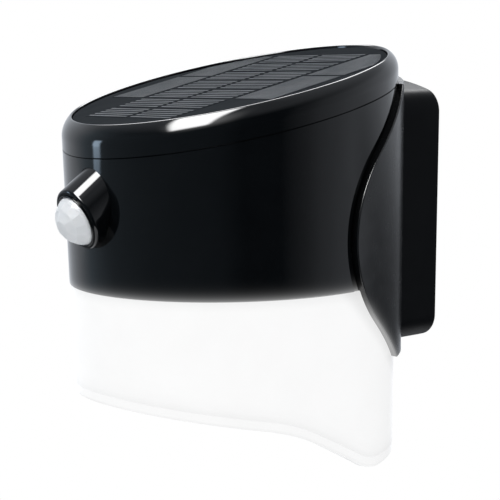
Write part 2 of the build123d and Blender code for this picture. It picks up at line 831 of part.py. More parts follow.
# Mode button in the rear, its seal and its switch
button_face = drum_r(switch_height) + cradle_proud - button_recess
with BuildPart() as mode_button:
    with BuildSketch(upright(button_face)):
        with Locations((0, switch_height)):
            Circle(button_radius)
    extrude(amount=flange_back - button_face)
    face = mode_button.faces().sort_by(Axis.Y)[-1]
    fillet(face.edges(), button_recess)
    with BuildSketch(upright(flange_back)):
        with Locations((0, switch_height)):
            Circle(button_flange)
    extrude(amount=-button_flange_thickness)
write(mode_button, "mode_button")

with BuildPart() as button_seal:
    with BuildSketch(upright(0)):
        with Locations((0, switch_height)):
            Circle(button_radius + button_clearance + button_seal_wall - fit_clearance)
            Circle(button_radius + button_clearance, mode=Mode.SUBTRACT)
    extrude(amount=axis_to_wall)
    add(cone(cradle_recess - cradle_clearance, 0, reach), mode=Mode.SUBTRACT)
    add(cone(-cradle_proud, 0, reach), mode=Mode.INTERSECT)
write(button_seal, "button_seal")

with BuildPart() as switch_board:
    with BuildSketch(upright(switch_seat)):
        with Locations((0, switch_height)):
            Rectangle(switch_board_length, switch_board_width)
    extrude(amount=-board_thickness)
write(switch_board, "switch_board")

with BuildPart() as switch_body:
    with BuildSketch(upright(switch_seat)):
        with Locations((0, switch_height)):
            Rectangle(switch_size, switch_size)
    extrude(amount=switch_thickness)
    with BuildSketch(upright(switch_seat + switch_thickness)):
        with Locations((0, switch_height)):
            Circle(plunger_radius)
    extrude(amount=plunger_height)
write(switch_body, "switch_body")

# Wall box: arched ends, a saddle in front and an open back
box_depth = axis_to_wall - box_front
saddle = cone(-saddle_out, -reach, reach)
with BuildPart() as box_hollow:
    with BuildSketch(Plane.XZ):
        add(box_outline(box_wall))
    extrude(amount=box_depth)
    add(cone(-saddle_out - box_wall, -reach, reach), mode=Mode.SUBTRACT)
# Posts inside the box for the plate's screws
with BuildPart() as plate_posts:
    with BuildSketch(Plane.XZ.offset(plate_thickness)):
        with GridLocations(2 * plate_screw_x, 2 * plate_screw_z, 2, 2):
            Circle(plate_post_radius)
            Circle(screw_radius + screw_clearance, mode=Mode.SUBTRACT)
    extrude(amount=box_depth)
    add(cone(-saddle_out - box_wall / 2, -reach, reach), mode=Mode.SUBTRACT)

with BuildPart() as wall_box:
    with BuildSketch(Plane.XZ):
        add(box_outline(0))
    extrude(amount=box_depth)
    wall_side = wall_box.faces().sort_by(Axis.Y)[-1]
    fillet(wall_side.edges(), box_edge)
    add(saddle, mode=Mode.SUBTRACT)
    add(box_hollow.part, mode=Mode.SUBTRACT)
    add(plate_posts.part)
    # Ways in for the wall screws
    with BuildSketch(Plane.XZ):
        with GridLocations(2 * slot_x, 0, 2, 1):
            Circle(access_radius)
    extrude(amount=box_depth, mode=Mode.SUBTRACT)
    # Channel for the cradle's tongue, open at the top
    channel_height = (reach + tongue_bottom) / 2
    with BuildSketch(upright(drum_radius)):
        with Locations((0, channel_height)):
            Rectangle(tongue_neck + 2 * tongue_clearance, reach - tongue_bottom)
    extrude(amount=head_front - drum_radius, mode=Mode.SUBTRACT)
    with BuildSketch(upright(head_front - tongue_clearance)):
        with Locations((0, channel_height)):
            Rectangle(tongue_head + 2 * tongue_clearance, reach - tongue_bottom)
    extrude(amount=tongue_head_thickness + 2 * tongue_clearance, mode=Mode.SUBTRACT)
write(wall_box, "wall_box")

# Wall plate and its screws
with BuildPart() as wall_plate:
    with BuildSketch(Plane.XZ):
        add(box_outline(box_wall + plate_clearance))
        with GridLocations(2 * slot_x, 0, 2, 1):
            SlotOverall(slot_length, slot_width, mode=Mode.SUBTRACT)
        with GridLocations(2 * plate_screw_x, 2 * plate_screw_z, 2, 2):
            Circle(screw_radius + screw_clearance, mode=Mode.SUBTRACT)
    extrude(amount=plate_thickness)
    with BuildSketch(Plane.XZ):
        with GridLocations(2 * plate_screw_x, 2 * plate_screw_z, 2, 2):
            Circle(screw_head_radius + screw_clearance)
    extrude(amount=plate_sink, mode=Mode.SUBTRACT)
write(wall_plate, "wall_plate")

with BuildPart() as plate_screws:
    for spot in GridLocations(2 * plate_screw_x, 2 * plate_screw_z, 2, 2).local_locations:
        add(Plane.XZ.offset(plate_sink).location * spot * flat_screw(screw_bite))
write(plate_screws, "plate_screws")
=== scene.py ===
import math

import bmesh
import bpy
from mathutils import Matrix, Vector


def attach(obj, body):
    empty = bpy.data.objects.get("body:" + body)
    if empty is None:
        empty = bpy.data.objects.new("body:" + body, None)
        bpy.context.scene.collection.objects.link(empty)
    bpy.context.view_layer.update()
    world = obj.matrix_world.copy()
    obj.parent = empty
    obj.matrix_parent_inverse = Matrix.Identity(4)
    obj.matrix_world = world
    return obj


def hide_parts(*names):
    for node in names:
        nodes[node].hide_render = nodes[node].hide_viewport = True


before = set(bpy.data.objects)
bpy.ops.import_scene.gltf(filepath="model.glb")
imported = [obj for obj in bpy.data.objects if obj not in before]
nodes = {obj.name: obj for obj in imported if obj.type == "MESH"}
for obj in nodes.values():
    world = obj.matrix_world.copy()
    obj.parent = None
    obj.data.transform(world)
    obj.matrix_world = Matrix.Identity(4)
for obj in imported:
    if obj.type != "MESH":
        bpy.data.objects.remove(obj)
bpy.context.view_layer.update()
scene = bpy.context.scene
scene.view_settings.view_transform = "Standard"

# Sizes of the lantern in millimetres, as in the solid model
MM = 0.001
AXIS_Y = -90.0                 # the drum's axis, in front of the wall
BASE_Z = -26.0                 # the drum's lower edge
DRUM_R = 75.2
DRAFT = math.tan(math.radians(1.1))
TILT_ANGLE = math.radians(12.7)
TILT = math.tan(TILT_ANGLE)
LIP = 89.6
SEAM = 76.0
SEAM_GAP = 0.25
DRUM_WALL = 3.2
RIM = 5.0                      # from the outer face in to the panel's pocket
LEDGE = 4.6
PANEL_DROP = 1.2               # the panel's face below the lip
PANEL_SEAT = 3.2               # panel and gasket
LEDGE_WALL = 2.4
LUG_DROP = 4.0                 # the drum's screw lugs below the seam
PANEL_TOP = LIP - PANEL_DROP
LEDGE_TOP = PANEL_TOP - PANEL_SEAT
LEDGE_BOTTOM = LEDGE_TOP - LEDGE_WALL
LUG_TOP = SEAM - LUG_DROP
MOUTH = Vector((0.0, -173.5, 6.7))
MOUTH_TILT = math.radians(21.5)
FLANK = (0.0, -66.66, -41.03)  # a point on the cradle's lower flank, seen from the side
FLANK_TURN = math.radians(43.5)
FLANK_INWARD = (0.0, math.sin(FLANK_TURN), math.cos(FLANK_TURN))
BASE = (0.0, 0.0, BASE_Z)      # a point level with the drum's lower edge
UP = (0.0, 0.0, 1.0)
WHITE = (1.0, 1.0, 1.0, 1.0)


# Mesh building

def mesh_piece(name, verts, faces, material, body, sharp=35.0):
    """A closed mesh from points in millimetres, smooth up to an angle, riding on a body."""
    mesh = bpy.data.meshes.new(name)
    mesh.from_pydata([Vector(v) * MM for v in verts], [], faces)
    bm = bmesh.new()
    bm.from_mesh(mesh)
    bmesh.ops.recalc_face_normals(bm, faces=bm.faces)
    bm.to_mesh(mesh)
    bm.free()
    mesh.shade_smooth()
    mesh.set_sharp_from_angle(angle=math.radians(sharp))
    mesh.materials.append(material)
    piece = bpy.data.objects.new(name, mesh)
    scene.collection.objects.link(piece)
    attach(piece, body)
    return piece


def grid_faces(rows, cols, start=0, wrap_rows=True, wrap_cols=True):
    """Quads over a grid of points that may close on itself either way."""
    quads = []
    for i in range(rows if wrap_rows else rows - 1):
        for j in range(cols if wrap_cols else cols - 1):
            k, m = (i + 1) % rows, (j + 1) % cols
            quads.append(tuple(start + a * cols + b for a, b in ((i, j), (k, j), (k, m), (i, m))))
    return quads


def quad(start):
    """One face over four points that follow each other."""
    return tuple(start + k for k in range(4))


def tip_faces(rows, cols, first_tip, last_tip):
    """Fans that close the first and last columns of a grid of points, each at its own tip."""
    fans = []
    for k in range(rows):
        m = (k + 1) % rows
        fans += [(first_tip, k * cols, m * cols), (last_tip, m * cols + cols - 1, k * cols + cols - 1)]
    return fans


def drum_point(angle, inset, height):
    """A point on the drafted drum, moved in by inset, on the slanted plane at a height on the axis."""
    r = (DRUM_R - inset + height * DRAFT) / (1 - math.sin(angle) * TILT * DRAFT)
    y = r * math.sin(angle)
    return (r * math.cos(angle), AXIS_Y + y, BASE_Z + height + y * TILT)


def slanted(x, y, height, out=0.0):
    """A point given on the slanted plane at a height on the axis, and out along the plane's normal."""
    return (
        x,
        AXIS_Y + y * math.cos(TILT_ANGLE) - out * math.sin(TILT_ANGLE),
        BASE_Z + height + y * math.sin(TILT_ANGLE) + out * math.cos(TILT_ANGLE),
    )


def arc(centre, radius, start, end, count):
    """Points on an arc of a profile; angles are turned from straight out towards the axis, in degrees."""
    turn = [math.radians(start + (end - start) * k / (count - 1)) for k in range(count)]
    return [(centre[0] - radius * math.cos(t), centre[1] + radius * math.sin(t)) for t in turn]


# Shader nodes

NOISE_LOW, NOISE_HIGH = 0.3, 0.7  # most of a noise lies between these


def node_tree(material):
    material.use_nodes = True
    tree = material.node_tree
    return tree.nodes, tree.links, tree.nodes["Principled BSDF"]


def object_place(ns):
    return ns.new("ShaderNodeTexCoord").outputs["Object"]


def noise(ns, ls, vector, scale, detail=4.0, roughness=0.55):
    n = ns.new("ShaderNodeTexNoise")
    n.inputs["Scale"].default_value = scale
    n.inputs["Detail"].default_value = detail
    n.inputs["Roughness"].default_value = roughness
    ls.new(vector, n.inputs["Vector"])
    return n.outputs["Fac"]


def remap(ns, ls, value, low, high, from_low=NOISE_LOW, from_high=NOISE_HIGH, smooth=False):
    """A value between from_low and from_high turned into one between low and high."""
    m = ns.new("ShaderNodeMapRange")
    if smooth:
        m.interpolation_type = "SMOOTHSTEP"
    m.inputs["From Min"].default_value = from_low
    m.inputs["From Max"].default_value = from_high
    m.inputs["To Min"].default_value = low
    m.inputs["To Max"].default_value = high
    ls.new(value, m.inputs["Value"])
    return m.outputs["Result"]


def math_node(ns, ls, operation, first, second=None):
    m = ns.new("ShaderNodeMath")
    m.operation = operation
    for socket, value in zip(m.inputs, (first, second)):
        if isinstance(value, (int, float)):
            socket.default_value = value
        elif value is not None:
            ls.new(value, socket)
    return m.outputs["Value"]


def ramp(ns, ls, value, stops):
    """Colours that run from stop to stop."""
    r = ns.new("ShaderNodeValToRGB")
    elements = r.color_ramp.elements
    while len(elements) < len(stops):
        elements.new(0.5)
    for e, (at, colour) in zip(elements, stops):
        e.position = at
        e.color = (*colour, 1.0)
    ls.new(value, r.inputs["Fac"])
    return r.outputs["Color"]


def bump(ns, ls, height, strength, target, distance=0.0001):
    b = ns.new("ShaderNodeBump")
    b.inputs["Strength"].default_value = strength
    b.inputs["Distance"].default_value = distance
    ls.new(height, b.inputs["Height"])
    ls.new(b.outputs["Normal"], target.inputs["Normal"])


def stretched(ns, ls, vector, scale):
    m = ns.new("ShaderNodeMapping")
    m.inputs["Scale"].default_value = scale
    ls.new(vector, m.inputs["Vector"])
    return m.outputs["Vector"]


def along(ns, ls, vector, direction):
    """Distance along a direction."""
    dot = ns.new("ShaderNodeVectorMath")
    dot.operation = "DOT_PRODUCT"
    ls.new(vector, dot.inputs[0])
    dot.inputs[1].default_value = direction
    return dot.outputs["Value"]


# Materials

DRIFT_SCALE, GLOSS_SCALE, GLOSS_DETAIL = 60.0, 140.0, 6.0
HAIR_STRETCH, HAIR_DETAIL, HAIR_LOW, HAIR_HIGH = (2400.0, 2400.0, 60.0), 3.0, 0.64, 0.74
SKIN_DETAIL = 2.0


def moulded(name, dark, light, rough_low, rough_high, peel=0.02, grain=9000.0, scuff=0.0):
    """Moulded plastic: faint colour drift, uneven gloss, hairline scuffs and a fine moulded skin."""
    m = bpy.data.materials.new(name)
    ns, ls, bsdf = node_tree(m)
    at = object_place(ns)
    drift = noise(ns, ls, at, DRIFT_SCALE)
    ls.new(ramp(ns, ls, drift, [(NOISE_LOW, dark), (NOISE_HIGH, light)]), bsdf.inputs["Base Color"])
    rough = remap(ns, ls, noise(ns, ls, at, GLOSS_SCALE, GLOSS_DETAIL), rough_low, rough_high)
    if scuff:
        hairs = noise(ns, ls, stretched(ns, ls, at, HAIR_STRETCH), 1.0, HAIR_DETAIL)
        rough = math_node(ns, ls, "ADD", rough, remap(ns, ls, hairs, 0.0, scuff, HAIR_LOW, HAIR_HIGH))
    ls.new(rough, bsdf.inputs["Roughness"])
    bump(ns, ls, noise(ns, ls, at, grain, SKIN_DETAIL), peel, bsdf)
    return m


SPANGLE_SCALE = 420.0
GRAIN_DETAIL, PIT_SCALE, PIT_DETAIL, PIT_DEPTH = 3.0, 3000.0, 3.0, 0.06
GRAIN_LOW, GRAIN_HIGH = 0.25, 0.75


def metal(name, dark, light, rough_low, rough_high, grain):
    """Bare metal with a grain drawn out one way; spots of a zinc skin where the grain is None."""
    m = bpy.data.materials.new(name)
    ns, ls, bsdf = node_tree(m)
    at = object_place(ns)
    if grain:
        pattern = noise(ns, ls, stretched(ns, ls, at, grain), 1.0, GRAIN_DETAIL)
    else:
        spangle = ns.new("ShaderNodeTexVoronoi")
        spangle.inputs["Scale"].default_value = SPANGLE_SCALE
        ls.new(at, spangle.inputs["Vector"])
        tone = ns.new("ShaderNodeSeparateColor")
        ls.new(spangle.outputs["Color"], tone.inputs["Color"])
        pattern = tone.outputs["Red"]
    ls.new(ramp(ns, ls, pattern, [(GRAIN_LOW, dark), (GRAIN_HIGH, light)]), bsdf.inputs["Base Color"])
    ls.new(remap(ns, ls, pattern, rough_low, rough_high), bsdf.inputs["Roughness"])
    bsdf.inputs["Metallic"].default_value = 1.0
    bump(ns, ls, noise(ns, ls, at, PIT_SCALE, PIT_DETAIL), PIT_DEPTH, bsdf)
    return m


TRACK_SCALE, TRACK_IN, TRACK_OUT, TRACK_RELIEF = 260.0, 0.05, 0.09, 0.15
MASK_SCALE, MASK_SMOOTH, MASK_ROUGH = 500.0, 0.25, 0.42


def circuit(name, mask, trace):
    """A printed board: solder mask with faint tracks under it."""
    m = bpy.data.materials.new(name)
    ns, ls, bsdf = node_tree(m)
    at = object_place(ns)
    web = ns.new("ShaderNodeTexVoronoi")
    web.feature = "DISTANCE_TO_EDGE"
    web.inputs["Scale"].default_value = TRACK_SCALE
    ls.new(at, web.inputs["Vector"])
    tracks = remap(ns, ls, web.outputs["Distance"], 1.0, 0.0, TRACK_IN, TRACK_OUT)
    ls.new(ramp(ns, ls, tracks, [(0.0, mask), (1.0, trace)]), bsdf.inputs["Base Color"])
    ls.new(remap(ns, ls, noise(ns, ls, at, MASK_SCALE), MASK_SMOOTH, MASK_ROUGH), bsdf.inputs["Roughness"])
    bump(ns, ls, tracks, TRACK_RELIEF, bsdf)
    return m


PAINTED_SPILL_REACHES = 8.0            # the spill is gone after so many reaches
PAINTED_SPILL_TOP_FADE = 10.0


def painted_edge_glow(material, point, inward, reach, strength, top=None):
    """Painted glow on the edge of a black piece, standing in for light from the diffuser that spills onto
    it; it fades away from the edge.
    """
    ns, ls, bsdf = node_tree(material)
    at = object_place(ns)
    edge = Vector(point).dot(Vector(inward))
    end = edge + PAINTED_SPILL_REACHES * reach
    away = remap(ns, ls, along(ns, ls, at, inward), 0.0, PAINTED_SPILL_REACHES, edge * MM, end * MM)
    glow = math_node(ns, ls, "MULTIPLY", math_node(ns, ls, "POWER", math.exp(-1.0), away), strength)
    if top:
        parts = ns.new("ShaderNodeSeparateXYZ")
        ls.new(at, parts.inputs["Vector"])
        fade_from = top - PAINTED_SPILL_TOP_FADE
        below = remap(ns, ls, parts.outputs["Z"], 1.0, 0.0, fade_from * MM, top * MM, smooth=True)
        glow = math_node(ns, ls, "MULTIPLY", glow, below)
    # Painted light: an emission glow, not light from a lamp
    bsdf.inputs["Emission Color"].default_value = WHITE
    ls.new(glow, bsdf.inputs["Emission Strength"])


# Glow by height above the diffuser's lower edge, with painted shade: weaker at the seam, weakest under the
# floor
GLOW_LOW, GLOW_HIGH = -1.0, 13.0
GLOWS = (
    (-0.5, 0.68),
    (0.3, 0.79),
    (1.6, 0.86),
    (4.4, 0.86),
    (4.6, 0.76),
    (4.9, 0.80),
    (7.5, 0.85),
    (12.0, 0.87),
)
# Edges of the drum and the cradle next to which the glow is darkened as painted shade: a point, the way in,
# the reach, the share left
PAINTED_SHADE_EDGES = ((BASE, UP, 5.0, 0.93), (FLANK, FLANK_INWARD, 7.0, 0.86))
COAT, COAT_ROUGHNESS = 0.3, 0.10


def lit_inside(material):
    """Light inside an opal wall that fills it, darkened by painted shade at the seam, under the floor and
    next to the drum's and cradle's edges.
    """
    ns, ls, bsdf = node_tree(material)
    above_edge = ns.new("ShaderNodeAttribute")
    above_edge.attribute_name = "above_edge"
    level = remap(ns, ls, above_edge.outputs["Fac"], 0.0, 1.0, GLOW_LOW, GLOW_HIGH)
    stops = [((height - GLOW_LOW) / (GLOW_HIGH - GLOW_LOW), (share,) * 3) for height, share in GLOWS]
    glow = ramp(ns, ls, level, stops)
    at = object_place(ns)
    for point, inward, reach, least in PAINTED_SHADE_EDGES:
        edge = Vector(point).dot(Vector(inward))
        place = along(ns, ls, at, inward)
        # Painted shade: the glow falls off next to the drum's and cradle's edges
        painted_shade = remap(ns, ls, place, 1.0, least, (edge - reach) * MM, edge * MM, smooth=True)
        glow = math_node(ns, ls, "MULTIPLY", glow, painted_shade)
    bsdf.inputs["Emission Color"].default_value = WHITE
    ls.new(glow, bsdf.inputs["Emission Strength"])
    bsdf.inputs["Coat Weight"].default_value = COAT
    bsdf.inputs["Coat Roughness"].default_value = COAT_ROUGHNESS


INK, INK_LIGHT = (0.0014, 0.0018, 0.0023), (0.0022, 0.0027, 0.0033)
SATIN_INK, SATIN_LIGHT = (0.0014, 0.0018, 0.0024), (0.0024, 0.0029, 0.0036)
gloss = moulded("black_gloss", INK, INK_LIGHT, 0.045, 0.075, 0.01, scuff=0.05)
# The drum's black gloss with a painted glow along its lower edge, next to the diffuser
drum_gloss_painted_glow = moulded("drum_gloss_painted_glow", INK, INK_LIGHT, 0.045, 0.075, 0.01, scuff=0.05)
painted_edge_glow(drum_gloss_painted_glow, BASE, UP, reach=1.4, strength=0.32)
satin = moulded("black_satin", SATIN_INK, SATIN_LIGHT, 0.30, 0.38, 0.10, 2600.0, scuff=0.05)
wing_satin_painted_glow = moulded("wing_satin_painted_glow", INK, INK_LIGHT, 0.22, 0.28, 0.04, 4000.0, scuff=0.05)
# The cradle's satin with a painted glow along its lower flank, next to the diffuser
painted_edge_glow(wing_satin_painted_glow, FLANK, FLANK_INWARD, reach=1.5, strength=0.22, top=-24.0)
opal = moulded("opal", (0.12, 0.119, 0.117), (0.14, 0.139, 0.137), 0.30, 0.42)
lit_inside(opal)
laminate = moulded("panel_laminate", (0.036, 0.040, 0.044), (0.044, 0.048, 0.052), 0.28, 0.36)
cell = moulded("solar_cell", (0.040, 0.044, 0.049), (0.050, 0.054, 0.060), 0.26, 0.34)
silver = moulded("cell_silver", (0.24, 0.25, 0.26), (0.33, 0.34, 0.35), 0.30, 0.40)
lens = moulded("lens_white", (0.80, 0.82, 0.84), (0.86, 0.87, 0.88), 0.34, 0.42)
rubber = moulded("black_rubber", (0.010, 0.010, 0.010), (0.018, 0.018, 0.018), 0.60, 0.75, 0.1)
board = circuit("board_green", (0.010, 0.075, 0.028), (0.030, 0.150, 0.060))
white_board = circuit("board_white", (0.80, 0.80, 0.79), (0.70, 0.71, 0.70))
white = moulded("tray_white", (0.78, 0.78, 0.77), (0.84, 0.84, 0.83), 0.35, 0.50)
component = moulded("component_black", (0.012, 0.012, 0.013), (0.022, 0.022, 0.023), 0.45, 0.60, 0.1)
wrap = moulded("battery_wrap", (0.015, 0.06, 0.22), (0.02, 0.08, 0.27), 0.20, 0.30)
phosphor = moulded("led_phosphor", (0.80, 0.68, 0.25), (0.88, 0.76, 0.32), 0.30, 0.40)
steel = metal("steel", (0.42, 0.42, 0.43), (0.58, 0.58, 0.59), 0.20, 0.36, (300.0, 6000.0, 300.0))
zinc = metal("galvanised", (0.50, 0.51, 0.52), (0.56, 0.57, 0.58), 0.34, 0.44, None)
tin = metal("tinned_can", (0.55, 0.55, 0.54), (0.68, 0.68, 0.67), 0.16, 0.28, (6000.0, 300.0, 300.0))
for finish, level in (
    (laminate, 0.0),
    (cell, 0.0),
    (silver, 0.0),
    (satin, 0.07),
    (opal, 0.1),
    (wing_satin_painted_glow, 0.75),
):
    finish.node_tree.nodes["Principled BSDF"].inputs["Specular IOR Level"].default_value = level

for material, names in (
    (gloss, ("bezel_ring", "sensor_barrel", "sensor_collar")),
    (drum_gloss_painted_glow, ("drum_shell",)),
    (satin, ("wall_box",)),
    (wing_satin_painted_glow, ("rear_cradle",)),
    (opal, ("diffuser",)),
    (laminate, ("solar_panel",)),
    (cell, ("solar_cells",)),
    (lens, ("sensor_lens",)),
    (rubber, ("panel_gasket", "diffuser_seal", "button_seal", "mode_button")),
    (board, ("sensor_board", "control_board", "switch_board")),
    (white_board, ("led_board",)),
    (white, ("light_tray",)),
    (component, ("board_components", "switch_body", "battery_holder")),
    (wrap, ("battery",)),
    (phosphor, ("leds",)),
    (steel, ("bezel_screws", "tray_screws", "board_screws", "cradle_screws", "plate_screws")),
    (steel, ("battery_contacts",)),
    (zinc, ("wall_plate",)),
    (tin, ("pir_sensor",)),
):
    for name in names:
        nodes[name].data.materials.clear()
        nodes[name].data.materials.append(material)

# Bezel: a long soft shoulder that ends in a narrow rounded lip round the panel's pocket
SHOULDER_R, SHOULDER_TURN, SHOULDER_POINTS = 10.0, 52.5, 24
SHOULDER_LEAD = 0.5            # the last ring of the plain side, below the shoulder
LIP_R, LIP_POINTS = 0.67, 12
FOOT_R, FOOT_MID, FOOT_END = 0.25, 0.07, 0.35  # a small round at the seam and the ring above it
BEZEL_STEPS = 288
turn = math.radians(SHOULDER_TURN)
shoulder_in = SHOULDER_R * (1 - math.cos(turn))
lip_centre = (shoulder_in + LIP_R * math.cos(turn), LIP - LIP_R)
shoulder_top = lip_centre[1] + LIP_R * math.sin(turn)
shoulder_centre = (SHOULDER_R, shoulder_top - SHOULDER_R * math.sin(turn))
pocket = lip_centre[0] + LIP_R
foot = SEAM + SEAM_GAP
profile = [
    (FOOT_R, foot),
    (FOOT_MID, foot + FOOT_MID),
    (0.0, foot + FOOT_R),
    (0.0, foot + FOOT_END),
    (0.0, shoulder_centre[1] - SHOULDER_LEAD),
]
profile += arc(shoulder_centre, SHOULDER_R, 0.0, SHOULDER_TURN, SHOULDER_POINTS)[:-1]
profile += arc(lip_centre, LIP_R, SHOULDER_TURN, 180.0, LIP_POINTS)
profile += [
    (pocket, LEDGE_TOP),
    (RIM + LEDGE, LEDGE_TOP),
    (RIM + LEDGE, LEDGE_BOTTOM),
    (DRUM_WALL, LEDGE_BOTTOM),
    (DRUM_WALL, foot),
]
verts = [drum_point(2 * math.pi * k / BEZEL_STEPS, i, s) for k in range(BEZEL_STEPS) for i, s in profile]
faces = grid_faces(BEZEL_STEPS, len(profile))
# Skirt inside the drum, open at the front over the sensor's pad
SKIRT_OUT, SKIRT_IN, SKIRT_DROP, SKIRT_STEPS = 3.5, 5.5, 3.0, 160
SKIRT_OPENING = math.radians(13.0)
skirt_foot = SEAM - SKIRT_DROP
skirt = [
    (SKIRT_OUT, skirt_foot),
    (SKIRT_IN, skirt_foot),
    (SKIRT_IN, LEDGE_BOTTOM),
    (SKIRT_OUT, LEDGE_BOTTOM),
]
first = len(verts)
for k in range(SKIRT_STEPS + 1):
    angle = -math.pi / 2 + SKIRT_OPENING + (2 * math.pi - 2 * SKIRT_OPENING) * k / SKIRT_STEPS
    verts += [drum_point(angle, i, s) for i, s in skirt]
faces += grid_faces(SKIRT_STEPS + 1, len(skirt), first, wrap_rows=False)
faces += [quad(first), quad(first + len(skirt) * SKIRT_STEPS)]
# Posts that take the screws
POST_COUNT, POST_TURN, POST_SIDES = 4, math.radians(45.0), 32
POST_BORE, POST_R, POST_INSET = 1.6, 4.0, 8.5
post_height = (LEDGE_BOTTOM - LUG_TOP) * math.cos(TILT_ANGLE)
post_circle = DRUM_R - POST_INSET
for corner in range(POST_COUNT):
    a = POST_TURN + 2 * math.pi * corner / POST_COUNT
    first = len(verts)
    for k in range(POST_SIDES):
        t = 2 * math.pi * k / POST_SIDES
        for r, out in ((POST_BORE, 0.0), (POST_R, 0.0), (POST_R, post_height), (POST_BORE, post_height)):
            x = post_circle * math.cos(a) + r * math.cos(t)
            y = post_circle * math.sin(a) + r * math.sin(t)
            verts.append(slanted(x, y, LUG_TOP, out))
    faces += grid_faces(POST_SIDES, 4, first)
bezel = mesh_piece("bezel", verts, faces, gloss, "lantern")
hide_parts("bezel_ring")

# Silver fingers printed on the solar cells
CELL_ROWS, CELL_W, CELL_L, CELL_GAP = 7, 32.0, 15.6, 1.2
SIDE_W, SIDE_L, SIDE_X, SIDE_Y = 26.0, 40.0, 47.7, 16.0
FINGERS, FINGER_PITCH, FINGER_W, FINGER_MARGIN = 5, 3.0, 0.9, 1.0
SIDE_FINGERS, SIDE_PITCH, SIDE_FINGER_W, SIDE_MARGIN = 40, 0.98, 0.35, 0.6
FINGER_UP, FINGER_SUNK, FINGER_SHORTEST = 0.25, 0.15, 2.0
PRINT_MARGIN = 3.0             # from the panel's pocket in to the printed area


def finger_limit(y):
    """Half width of the printed area at a distance along the slanted plane."""
    level_y = y * math.cos(TILT_ANGLE)
    r = DRUM_R - RIM - PRINT_MARGIN + (PANEL_TOP + level_y * TILT) * DRAFT
    return math.sqrt(max(r * r - level_y * level_y, 0.0))


def finger(verts, faces, x0, x1, y, width):
    """A thin bar on the panel, left out where the printed area is too narrow for it."""
    if x1 - x0 <= FINGER_SHORTEST:
        return
    first = len(verts)
    for x in (x0, x1):
        verts += [
            slanted(x, y - width / 2, PANEL_TOP, FINGER_SUNK),
            slanted(x, y + width / 2, PANEL_TOP, FINGER_SUNK),
            slanted(x, y + width / 2, PANEL_TOP, FINGER_UP),
            slanted(x, y - width / 2, PANEL_TOP, FINGER_UP),
        ]
    faces += grid_faces(2, 4, first, wrap_rows=False)
    faces += [quad(first), quad(first + 4)]


verts, faces = [], []
for row in range(CELL_ROWS):
    for column in (-1, 1):
        centre_x = column * (CELL_W + CELL_GAP) / 2
        centre_y = (row - (CELL_ROWS - 1) / 2) * (CELL_L + CELL_GAP)
        half_w = CELL_W / 2 - FINGER_MARGIN
        for k in range(FINGERS):
            y = centre_y + (k - (FINGERS - 1) / 2) * FINGER_PITCH
            limit = finger_limit(y)
            finger(verts, faces, max(centre_x - half_w, -limit), min(centre_x + half_w, limit), y, FINGER_W)
mesh_piece("cell_fingers", verts, faces, silver, "lantern")
verts, faces = [], []
for half in (-1, 1):
    for side in (-1, 1):
        centre_y = SIDE_Y + half * (SIDE_L + CELL_GAP) / 2
        for k in range(SIDE_FINGERS):
            y = centre_y + (k - (SIDE_FINGERS - 1) / 2) * SIDE_PITCH
            inner = SIDE_X - SIDE_W / 2 + SIDE_MARGIN
            outer = min(SIDE_X + SIDE_W / 2 - SIDE_MARGIN, finger_limit(y))
            x0, x1 = (inner, outer) if side > 0 else (-outer, -inner)
            finger(verts, faces, x0, x1, y, SIDE_FINGER_W)
mesh_piece("side_cell_fingers", verts, faces, silver, "lantern")

# Motion sensor's lens: a dome of shallow lens facets with a plain skirt and flange
LENS_R, LENS_H, LENS_WALL = 11.2, 8.2, 1.1
LENS_SIDES, LENS_ROWS, LENS_INNER_ROWS = 234, 72, 12
FLANGE_R, FLANGE_TOP, FLANGE_BOTTOM = 12.0, -1.6, -2.8
DOME_R = (LENS_R**2 + LENS_H**2) / (2 * LENS_H)
DOME_C = LENS_H - DOME_R
EDGE_TURN = math.asin(LENS_R / DOME_R)
INNER_TURN = math.asin((LENS_R - LENS_WALL) / (DOME_R - LENS_WALL))
FACET_RINGS = ((0.0, 0.24, 1), (0.24, 0.56, 6), (0.56, 0.88, 13))
FACET_DIP = 0.30


def facet_dip(share, angle):
    """How far a point of the dome is sunk, from its share of the way to the edge and its angle."""
    for ring, (low, high, count) in enumerate(FACET_RINGS):
        if low <= share < high:
            across = (share - low) / (high - low)
            if count == 1:
                return FACET_DIP * (1 - across**2)
            round_ring = (angle / (2 * math.pi) * count + 0.5 * ring) % 1.0
            return FACET_DIP * (1 - (2 * across - 1) ** 2) * (1 - (2 * round_ring - 1) ** 2)
    return 0.0


def lens_point(r, out, angle):
    """A point at a radius from the lens's axis and a distance out of the barrel's mouth."""
    x_axis = Vector((1.0, 0.0, 0.0))
    out_axis = Vector((0.0, -math.cos(MOUTH_TILT), -math.sin(MOUTH_TILT)))
    side_axis = out_axis.cross(x_axis)
    return MOUTH + x_axis * (r * math.cos(angle)) + side_axis * (r * math.sin(angle)) + out_axis * out


def dome_point(r, turn, angle):
    """A point of the dome at a distance from the dome's centre, turned from its axis."""
    return lens_point(r * math.sin(turn), DOME_C + r * math.cos(turn), angle)


